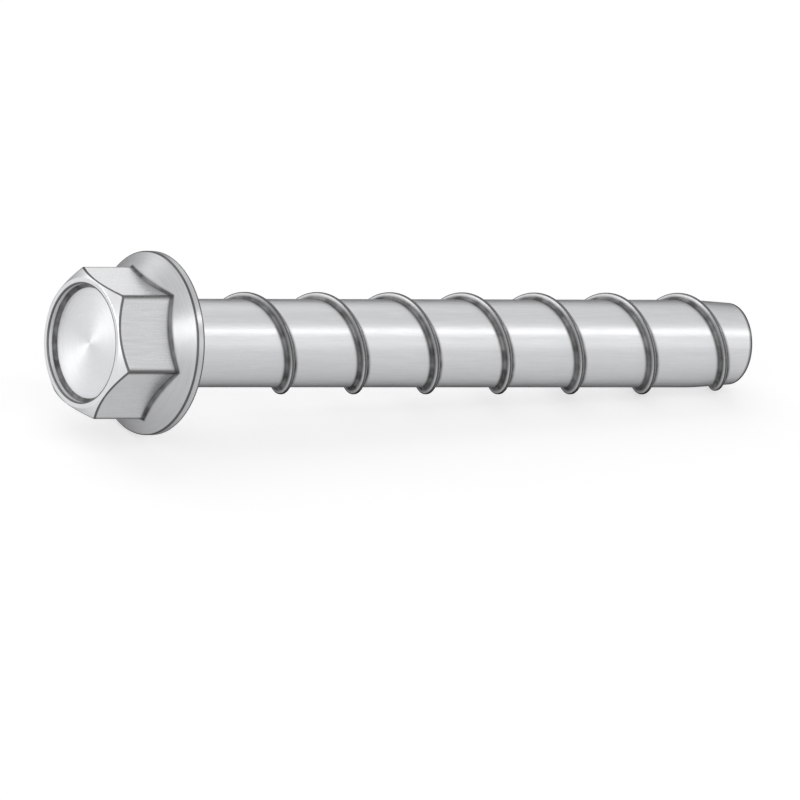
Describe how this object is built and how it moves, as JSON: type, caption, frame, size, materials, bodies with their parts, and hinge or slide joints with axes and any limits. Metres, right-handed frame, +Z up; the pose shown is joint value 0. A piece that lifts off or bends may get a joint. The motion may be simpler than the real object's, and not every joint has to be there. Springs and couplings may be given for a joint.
{
  "type": "concrete screw",
  "caption": "Hex flange concrete screw with a shallow round recess in its head, a coarse right-hand thread and a blunt tip.",
  "frame": {"origin": "the centre of the bounding box, on the surface that the screw lies on", "axes": "+X runs along the screw from head to tip, +Z is up; the tip dips towards the surface by about 3.8 degrees"},
  "size_m": [0.086, 0.0198, 0.0198],
  "materials": {
    "zinc_plated_steel": "bright zinc plating with a soft satin sheen, faint forging and rolling marks, darker on edges where the plating is worn"
  },
  "bodies": {
    "root": {"concrete_screw": "zinc_plated_steel"}
  },
  "joints": []
}
